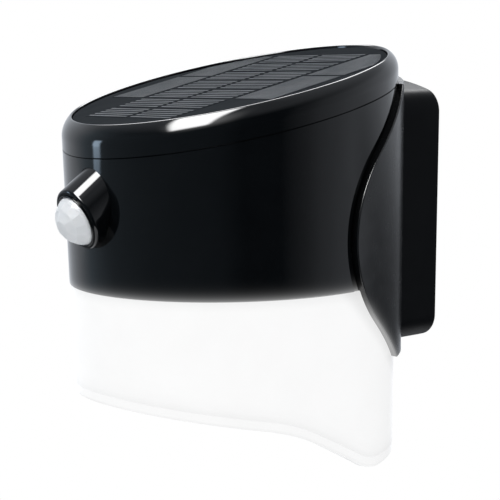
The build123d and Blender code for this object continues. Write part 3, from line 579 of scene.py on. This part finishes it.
lens_edge = (
    (LENS_R, FLANGE_TOP),
    (FLANGE_R, FLANGE_TOP),
    (FLANGE_R, FLANGE_BOTTOM),
    (LENS_R - LENS_WALL, FLANGE_BOTTOM),
)
verts = []
for k in range(LENS_SIDES):
    angle = 2 * math.pi * k / LENS_SIDES
    for j in range(1, LENS_ROWS + 1):
        share = j / LENS_ROWS
        verts.append(dome_point(DOME_R - facet_dip(share, angle), EDGE_TURN * share, angle))
    verts += [lens_point(r, out, angle) for r, out in lens_edge]
    for j in range(LENS_INNER_ROWS, 0, -1):
        verts.append(dome_point(DOME_R - LENS_WALL, INNER_TURN * j / LENS_INNER_ROWS, angle))
cols = LENS_ROWS + len(lens_edge) + LENS_INNER_ROWS
faces = grid_faces(LENS_SIDES, cols, wrap_cols=False)
faces += tip_faces(LENS_SIDES, cols, len(verts), len(verts) + 1)
verts += [lens_point(0.0, LENS_H - facet_dip(0.0, 0.0), 0.0), lens_point(0.0, LENS_H - LENS_WALL, 0.0)]
dome = mesh_piece("lens_dome", verts, faces, lens, "lantern", sharp=60.0)
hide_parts("sensor_lens")

# Diffuser: a drafted wall, a seam line, a rim that follows the ogee and a floor raised inside the rim
EDGE_FRONT, EDGE_BOTTOM = -48.6, -81.2
EDGE_SLOPE, EDGE_STEEP = math.radians(10.2), math.radians(28.2)
CREST_Y, CREST_R, TROUGH_R = -33.8, 74.0, 31.0
CREST_END = CREST_Y + CREST_R * (math.sin(EDGE_STEEP) - math.sin(EDGE_SLOPE))
CREST_FALL = CREST_R * (math.cos(EDGE_SLOPE) - math.cos(EDGE_STEEP))
CREST_LOW = EDGE_FRONT - (CREST_Y + DRUM_R) * math.tan(EDGE_SLOPE) - CREST_FALL
TROUGH_HIGH = EDGE_BOTTOM + TROUGH_R * (1 - math.cos(EDGE_STEEP))
RUN_END = CREST_END + (CREST_LOW - TROUGH_HIGH) / math.tan(EDGE_STEEP)
TROUGH_END = RUN_END + TROUGH_R * math.sin(EDGE_STEEP)
EDGE_PASSES = 4                # the edge's height and its drafted radius depend on each other
DIFFUSER_STEPS, DIFFUSER_INSET, DIFFUSER_WALL = 256, 0.7, 2.6
RIM_HEIGHT, RIM_WIDTH, RIM_ROUND = 4.6, 4.2, 1.0
RIM_INNER_STEPS, RIM_OUTER_STEPS = 5, 8
SEAM_STEP = 0.25
FLOOR_RAISE, FLOOR_WALL, FLOOR_ROWS = 5.5, 2.4, 28
FLOOR_ROUND, FLOOR_ROUND_STEPS = 2.5, 6
SPIGOT_OUT, SPIGOT_IN, SPIGOT_TOP, SPIGOT_ROOT = 3.5, 5.7, 8.0, -6.0
UNDER_EDGE = -1.0              # stands for the floor, which has no place on the wall


def edge_height(y):
    """Height of the ogee above the drum's lower edge, from the distance behind the drum's axis."""
    if y < CREST_Y:
        return EDGE_FRONT - (y + DRUM_R) * math.tan(EDGE_SLOPE)
    if y < CREST_END:
        fall = math.asin(math.sin(EDGE_SLOPE) + (y - CREST_Y) / CREST_R)
        return CREST_LOW + CREST_R * (math.cos(fall) - math.cos(EDGE_STEEP))
    if y < RUN_END:
        return CREST_LOW - (y - CREST_END) * math.tan(EDGE_STEEP)
    if y < TROUGH_END:
        fall = math.asin(math.sin(EDGE_STEEP) - (y - RUN_END) / TROUGH_R)
        return EDGE_BOTTOM + TROUGH_R * (1 - math.cos(fall))
    return EDGE_BOTTOM


def wall_radius(inset, height):
    """Radius of the drafted drum, moved in by inset, at a level height."""
    return DRUM_R - inset + height * DRAFT


def quarter(steps, first=0):
    """Angles of a quarter turn in even steps."""
    return [math.pi / 2 * j / steps for j in range(first, steps + 1)]


def hollow_points(outer, edge, turn):
    """Radii and heights from the middle of the raised floor out to the rim's inner round."""
    floor_r = outer - RIM_WIDTH - FLOOR_ROUND
    rows = [floor_r * j / FLOOR_ROWS for j in range(1, FLOOR_ROWS + 1)]
    points = [(r, edge_height(r * turn) + FLOOR_RAISE) for r in rows]
    ceiling = points[-1][1]
    for t in quarter(FLOOR_ROUND_STEPS, first=1):
        points.append((floor_r + FLOOR_ROUND * math.sin(t), ceiling - FLOOR_ROUND * (1 - math.cos(t))))
    for t in quarter(RIM_INNER_STEPS):
        r = outer - RIM_WIDTH + RIM_ROUND * (1 - math.cos(t))
        points.append((r, edge + RIM_ROUND * (1 - math.sin(t))))
    return points


def diffuser_slice(angle):
    """Radius, height and height above the edge of a slice's points, from the floor round to its top."""
    turn = math.sin(angle)
    edge = EDGE_FRONT
    for _ in range(EDGE_PASSES):
        edge = edge_height(wall_radius(DIFFUSER_INSET, edge) * turn)
    outer = wall_radius(DIFFUSER_INSET, edge)
    points = [(r, z, UNDER_EDGE) for r, z in hollow_points(outer, edge, turn)]
    for t in quarter(RIM_OUTER_STEPS):
        above = RIM_ROUND * (1 - math.cos(t))
        points.append((outer - SEAM_STEP - RIM_ROUND * (1 - math.sin(t)), edge + above, above))
    for inset, above in (
        (SEAM_STEP, RIM_HEIGHT / 2),
        (SEAM_STEP, RIM_HEIGHT),
        (0.0, RIM_HEIGHT + SEAM_STEP),
        (0.0, 2 * RIM_HEIGHT),
    ):
        points.append((wall_radius(DIFFUSER_INSET + inset, edge + above), edge + above, above))
    for inset, z in (
        (DIFFUSER_INSET, 0.0),
        (SPIGOT_OUT, 0.0),
        (SPIGOT_OUT, SPIGOT_TOP),
        (SPIGOT_IN, SPIGOT_TOP),
        (SPIGOT_IN, SPIGOT_ROOT),
        (DIFFUSER_INSET + DIFFUSER_WALL, SPIGOT_ROOT),
    ):
        points.append((wall_radius(inset, z), z, z - edge))
    for j in range(FLOOR_ROWS, 0, -1):
        r = (outer - DIFFUSER_WALL) * j / FLOOR_ROWS
        points.append((r, edge_height(r * turn) + FLOOR_RAISE + FLOOR_WALL, UNDER_EDGE))
    return points


verts, above_edge = [], []
for k in range(DIFFUSER_STEPS):
    angle = 2 * math.pi * k / DIFFUSER_STEPS
    piece_slice = diffuser_slice(angle)
    for r, z, above in piece_slice:
        verts.append((r * math.cos(angle), AXIS_Y + r * math.sin(angle), BASE_Z + z))
        above_edge.append(above)
cols = len(piece_slice)
faces = grid_faces(DIFFUSER_STEPS, cols, wrap_cols=False)
faces += tip_faces(DIFFUSER_STEPS, cols, len(verts), len(verts) + 1)
for lift in (FLOOR_RAISE, FLOOR_RAISE + FLOOR_WALL):
    verts.append((0.0, AXIS_Y, BASE_Z + edge_height(0.0) + lift))
    above_edge.append(UNDER_EDGE)
shell = mesh_piece("diffuser_shell", verts, faces, opal, "lantern", sharp=40.0)
shell.data.attributes.new("above_edge", "FLOAT", "POINT").data.foreach_set("value", above_edge)
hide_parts("diffuser")

# Camera at the photograph's angle, in metres
CAMERA_AT = (0.5474, -0.5073, 0.0733)
CAMERA_AZIMUTH, CAMERA_ELEVATION, CAMERA_ROLL = 52.0, 7.2, -1.1
SENSOR_WIDTH, FOCAL_LENGTH = 36.0, 108.0
CLIP_START, CLIP_END = 0.01, 50.0


def direction_to(azimuth, elevation):
    """The way from the lantern to a place, in degrees round from the front and up."""
    a, e = math.radians(azimuth), math.radians(elevation)
    return Vector((math.sin(a) * math.cos(e), -math.cos(a) * math.cos(e), math.sin(e)))


az, roll = math.radians(CAMERA_AZIMUTH), math.radians(CAMERA_ROLL)
back = direction_to(CAMERA_AZIMUTH, CAMERA_ELEVATION)
right = Vector((math.cos(az), math.sin(az), 0.0))
up = back.cross(right)
cam_x = right * math.cos(roll) + up * math.sin(roll)
cam_y = up * math.cos(roll) - right * math.sin(roll)
camera = bpy.data.objects.new("camera", bpy.data.cameras.new("camera"))
scene.collection.objects.link(camera)
camera.data.sensor_width = SENSOR_WIDTH
camera.data.lens = FOCAL_LENGTH
camera.data.clip_start = CLIP_START
camera.data.clip_end = CLIP_END
camera.matrix_world = Matrix.Translation(CAMERA_AT) @ Matrix((cam_x, cam_y, back)).transposed().to_4x4()
scene.camera = camera

# World: white to the camera; to everything else a studio, pale behind, dim in front and soft overhead
COOL, PALE = (0.82, 1.0, 1.16), (0.95, 1.0, 1.08)
# Share of the way round from the wall's side, by the left and the front; level; tint
TONES = (
    (0.00, 0.68, PALE),
    (0.07, 0.78, PALE),
    (0.20, 0.78, PALE),
    (0.28, 0.58, PALE),
    (0.33, 0.36, COOL),
    (0.40, 0.20, COOL),
    (0.50, 0.13, COOL),
    (0.625, 0.085, COOL),
    (0.67, 0.03, COOL),
    (0.74, 0.035, COOL),
    (0.79, 0.21, PALE),
    (0.82, 0.37, PALE),
    (0.88, 0.55, PALE),
    (0.95, 0.70, PALE),
)
# Spans of a direction's upward part, or of its part towards the wall, in which the levels change
HIGH_SPAN, HIGH_LEVEL = (0.35, 0.8), 0.3
LOW_SPAN, LOW_LEVEL = (-0.45, -0.2), 0.25
WALL_SPAN, WALL_SHADE = (0.76, 0.95), 0.85
EYE_SPAN = (-0.14, -0.02)
OVERHEAD_SPAN, OVERHEAD_LEVEL = (0.5, 0.85), 0.36

world = bpy.data.worlds.new("studio")
scene.world = world
world.use_nodes = True
wn, wl = world.node_tree.nodes, world.node_tree.links
wn.clear()
direction = wn.new("ShaderNodeSeparateXYZ")
wl.new(wn.new("ShaderNodeTexCoord").outputs["Generated"], direction.inputs["Vector"])
upward, wallward = direction.outputs["Z"], direction.outputs["Y"]
forward = math_node(wn, wl, "MULTIPLY", wallward, -1.0)
azimuth = math_node(wn, wl, "ARCTAN2", direction.outputs["X"], forward)
around = remap(wn, wl, azimuth, 0.0, 1.0, -math.pi, math.pi)
ring = ramp(wn, wl, around, [(at, [level * share for share in tint]) for at, level, tint in TONES])
high = remap(wn, wl, upward, 1.0, HIGH_LEVEL, *HIGH_SPAN, smooth=True)
low = remap(wn, wl, upward, LOW_LEVEL, 1.0, *LOW_SPAN, smooth=True)
# The wall's side is dim below eye level
wall_side = remap(wn, wl, wallward, 0.0, WALL_SHADE, *WALL_SPAN, smooth=True)
under = remap(wn, wl, upward, 1.0, 0.0, *EYE_SPAN, smooth=True)
shade = math_node(wn, wl, "SUBTRACT", 1.0, math_node(wn, wl, "MULTIPLY", wall_side, under))
height = math_node(wn, wl, "MULTIPLY", math_node(wn, wl, "MULTIPLY", high, low), shade)
studio = wn.new("ShaderNodeBackground")
wl.new(ring, studio.inputs["Color"])
wl.new(height, studio.inputs["Strength"])
overhead = wn.new("ShaderNodeBackground")
overhead.inputs["Color"].default_value = (*PALE, 1.0)
overhead_level = remap(wn, wl, upward, 0.0, OVERHEAD_LEVEL, *OVERHEAD_SPAN, smooth=True)
wl.new(overhead_level, overhead.inputs["Strength"])
around_and_over = wn.new("ShaderNodeAddShader")
wl.new(studio.outputs["Background"], around_and_over.inputs[0])
wl.new(overhead.outputs["Background"], around_and_over.inputs[1])
plain = wn.new("ShaderNodeBackground")
plain.inputs["Color"].default_value = WHITE
plain.inputs["Strength"].default_value = 1.0
path = wn.new("ShaderNodeLightPath")
seen = math_node(wn, wl, "MAXIMUM", path.outputs["Is Camera Ray"], path.outputs["Is Transmission Ray"])
mix = wn.new("ShaderNodeMixShader")
wl.new(seen, mix.inputs["Fac"])
wl.new(around_and_over.outputs["Shader"], mix.inputs[1])
wl.new(plain.outputs["Background"], mix.inputs[2])
wl.new(mix.outputs["Shader"], wn.new("ShaderNodeOutputWorld").inputs["Surface"])

# Lamps: four that only show as reflections and three that only light the matt surfaces
LAMPS_AIM = Vector((0.0, AXIS_Y * MM, 0.02))


def fade(ns, ls, coordinate, soft):
    """One in the middle of a lamp, falling to nothing over the soft share next to its edges."""
    off = math_node(ns, ls, "ABSOLUTE", math_node(ns, ls, "SUBTRACT", coordinate, 0.5))
    return remap(ns, ls, off, 1.0, 0.0, 0.5 * (1.0 - soft), 0.5, smooth=True)


def softbox(name, azimuth, elevation, distance, size, radiance, roll=0.0, soft=0.3, colour=WHITE[:3]):
    """A lamp that faces the lantern from a direction, as bright as radiance in its middle."""
    wide, high = size
    towards = direction_to(azimuth, elevation)
    data = bpy.data.lights.new(name, "AREA")
    data.shape = "RECTANGLE"
    data.size, data.size_y = wide, high
    data.energy = radiance * math.pi * wide * high
    data.color = colour
    data.use_nodes = True
    ns, ls = data.node_tree.nodes, data.node_tree.links
    across = ns.new("ShaderNodeSeparateXYZ")
    ls.new(ns.new("ShaderNodeNewGeometry").outputs["Parametric"], across.inputs["Vector"])
    level_x, level_y = (fade(ns, ls, across.outputs[axis], soft) for axis in ("X", "Y"))
    ls.new(math_node(ns, ls, "MULTIPLY", level_x, level_y), ns["Emission"].inputs["Strength"])
    lamp = bpy.data.objects.new(name, data)
    lamp.rotation_mode = "QUATERNION"
    facing = (-towards).to_track_quat("-Z", "Y")
    lamp.rotation_quaternion = facing @ Matrix.Rotation(math.radians(roll), 4, "Z").to_quaternion()
    lamp.location = LAMPS_AIM + towards * distance
    scene.collection.objects.link(lamp)
    return lamp


SKY_BLUE = (0.62, 0.80, 1.0)
for lamp in (
    softbox("bank", 3.0, 58.0, distance=1.0, size=(0.48, 1.06), radiance=22.0, roll=28.0, soft=0.35),
    softbox("halo", 20.0, 48.0, distance=1.1, size=(1.0, 1.1), radiance=2.6, roll=20.0, soft=1.0),
    softbox("strip", -45.5, 4.0, distance=1.2, size=(0.20, 0.46), radiance=5.0, soft=0.5, colour=SKY_BLUE),
    softbox("rear", -126.0, 52.0, distance=1.2, size=(1.3, 0.95), radiance=11.0, soft=0.4),
):
    lamp.visible_diffuse = False
for lamp in (
    softbox("key", 0.0, 48.0, distance=1.1, size=(0.8, 0.8), radiance=4.7),
    softbox("fill", -8.0, -20.0, distance=1.2, size=(0.8, 0.7), radiance=2.9),
    softbox("right_fill", 88.0, -4.0, distance=1.2, size=(1.0, 0.8), radiance=3.0),
):
    lamp.visible_glossy = False

# Floor under the lantern, in metres: white away from it, with its shadow under it, clear from below. Its
# white is a painted glow, weaker near the lantern.
STAGE_R, STAGE_SIDES, STAGE_Z = 0.5, 96, -0.42
STAGE_DARK, STAGE_LIGHT, STAGE_SCALE = (0.84, 0.84, 0.84), (0.86, 0.86, 0.86), 25.0
STAGE_ROUGHNESS, STAGE_SPECULAR = 0.9, 0.1
STAGE_NEAR, STAGE_NEAR_GLOW = 0.12, 0.3
STAGE_FAR, STAGE_FAR_GLOW = 0.42, 0.95
STAGE_MIRRORED = 0.6           # share of its glow that shows in glossy surfaces
floor_mesh = bpy.data.meshes.new("floor")
bm = bmesh.new()
bmesh.ops.create_circle(bm, cap_ends=True, segments=STAGE_SIDES, radius=STAGE_R)
bm.to_mesh(floor_mesh)
bm.free()
floor = bpy.data.objects.new("floor", floor_mesh)
floor.location = (0.0, AXIS_Y * MM, STAGE_Z)
scene.collection.objects.link(floor)
pale = bpy.data.materials.new("floor_pale")
ns, ls, bsdf = node_tree(pale)
at = object_place(ns)
far = ns.new("ShaderNodeVectorMath")
far.operation = "LENGTH"
ls.new(at, far.inputs[0])
drift = ramp(ns, ls, noise(ns, ls, at, STAGE_SCALE), [(NOISE_LOW, STAGE_DARK), (NOISE_HIGH, STAGE_LIGHT)])
ls.new(drift, bsdf.inputs["Base Color"])
bsdf.inputs["Roughness"].default_value = STAGE_ROUGHNESS
bsdf.inputs["Specular IOR Level"].default_value = STAGE_SPECULAR
rays = ns.new("ShaderNodeLightPath")
mirrored = math_node(ns, ls, "MULTIPLY", rays.outputs["Is Glossy Ray"], STAGE_MIRRORED)
shown = math_node(ns, ls, "MAXIMUM", rays.outputs["Is Camera Ray"], mirrored)
shown = math_node(ns, ls, "MAXIMUM", shown, rays.outputs["Is Transmission Ray"])
distance = far.outputs["Value"]
# Painted glow: weaker near the lantern, stronger away from it
level = remap(ns, ls, distance, STAGE_NEAR_GLOW, STAGE_FAR_GLOW, STAGE_NEAR, STAGE_FAR, smooth=True)
bsdf.inputs["Emission Color"].default_value = WHITE
ls.new(math_node(ns, ls, "MULTIPLY", shown, level), bsdf.inputs["Emission Strength"])
see_through = ns.new("ShaderNodeBsdfTransparent")
one_sided = ns.new("ShaderNodeMixShader")
ls.new(ns.new("ShaderNodeNewGeometry").outputs["Backfacing"], one_sided.inputs["Fac"])
ls.new(bsdf.outputs["BSDF"], one_sided.inputs[1])
ls.new(see_through.outputs["BSDF"], one_sided.inputs[2])
ls.new(one_sided.outputs["Shader"], ns["Material Output"].inputs["Surface"])
floor_mesh.materials.append(pale)
